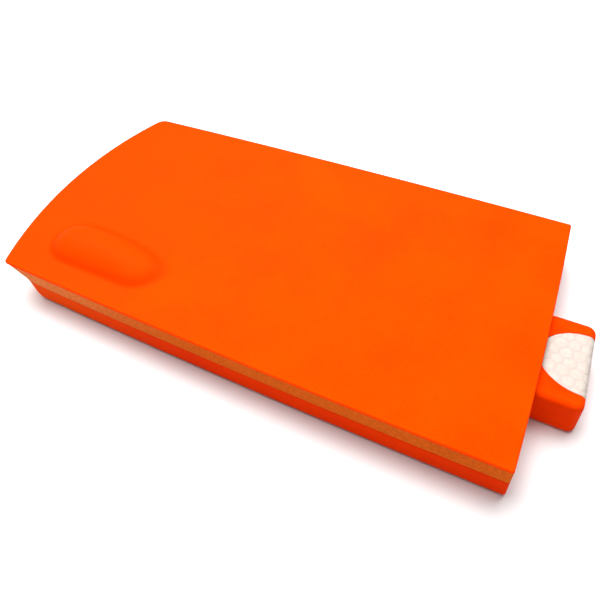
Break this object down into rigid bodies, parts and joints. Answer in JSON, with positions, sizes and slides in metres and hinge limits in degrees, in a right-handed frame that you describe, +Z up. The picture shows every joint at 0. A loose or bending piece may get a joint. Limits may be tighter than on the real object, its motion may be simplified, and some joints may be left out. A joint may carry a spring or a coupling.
{
  "type": "sanding block",
  "caption": "Flat hand sanding block with a thumb ridge, a layered core and a narrow nose that pulls out of one end to reach into corners.",
  "frame": {"origin": "under the middle of the whole object, on the surface that the sole rests on, with the nose pushed home", "axes": "+X along the length towards the nose, +Y from the side with the thumb ridge to the far side, +Z up out of the deck"},
  "size_m": [0.2416, 0.1176, 0.0255],
  "materials": {
    "deck_skin": "satin orange skin with a faint grain",
    "base_moulding": "matt orange moulding",
    "fibreboard": "raw tan fibreboard edge with a coarse grain",
    "soft_grip": "off-white soft grip with a honeycomb of rounded cells",
    "foam": "closed-cell foam",
    "hook_fabric": "black hook fabric",
    "nylon": "natural nylon",
    "felt": "grey wool felt",
    "rubber": "black rubber",
    "screw_steel": "zinc-plated steel"
  },
  "bodies": {
    "block": {"deck_skin": "deck_skin", "core_board": "fibreboard", "base_body": "base_moulding", "sole_cushion": "foam", "sole_hook_facing": "hook_fabric", "glide_strip_front": "nylon", "glide_strip_back": "nylon", "friction_pad_front": "felt", "friction_pad_back": "felt", "stop_bumper": "rubber", "body_screw_1": "screw_steel", "body_screw_2": "screw_steel", "body_screw_3": "screw_steel", "body_screw_4": "screw_steel", "body_screw_5": "screw_steel", "body_screw_6": "screw_steel"},
    "nose": {"nose_slide": "base_moulding", "nose_grip_inlay": "soft_grip", "nose_cushion": "foam", "nose_hook_facing": "hook_fabric"}
  },
  "joints": [
    {"name": "nose_pull", "type": "slide", "parent": "block", "child": "nose", "axis": [1, 0, 0], "range_m": [0, 0.07]}
  ]
}
